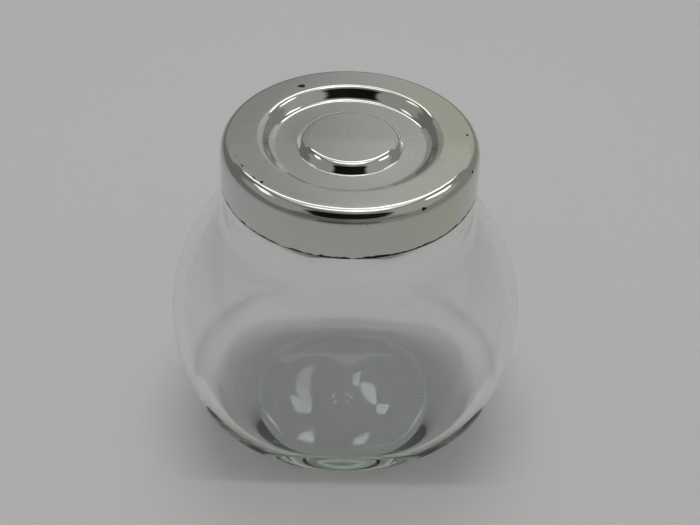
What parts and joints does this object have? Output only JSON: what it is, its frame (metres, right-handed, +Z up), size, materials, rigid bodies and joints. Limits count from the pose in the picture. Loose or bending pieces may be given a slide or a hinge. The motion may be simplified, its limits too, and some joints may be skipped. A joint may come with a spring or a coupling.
{
  "type": "glass spice jar",
  "caption": "Empty clear glass spice jar, a globe with two flat round faces, closed by a silver cap with a sunk ring and a round button.",
  "frame": {"origin": "centre of the base, on the surface the jar stands on", "axes": "+Z up along the jar's axis, the flat faces look along -Y and +Y, +X to the right seen from -Y"},
  "size_m": [0.0748, 0.05, 0.077],
  "materials": {
    "clear_glass": "clear, smooth, faint green tint in the thick edges",
    "silvered_plastic": "thin bright metal coat on moulded plastic, soft gloss, slightly worn at the lower edge"
  },
  "bodies": {
    "root": {"glass_jar": "clear_glass", "cap": "silvered_plastic"}
  },
  "joints": []
}
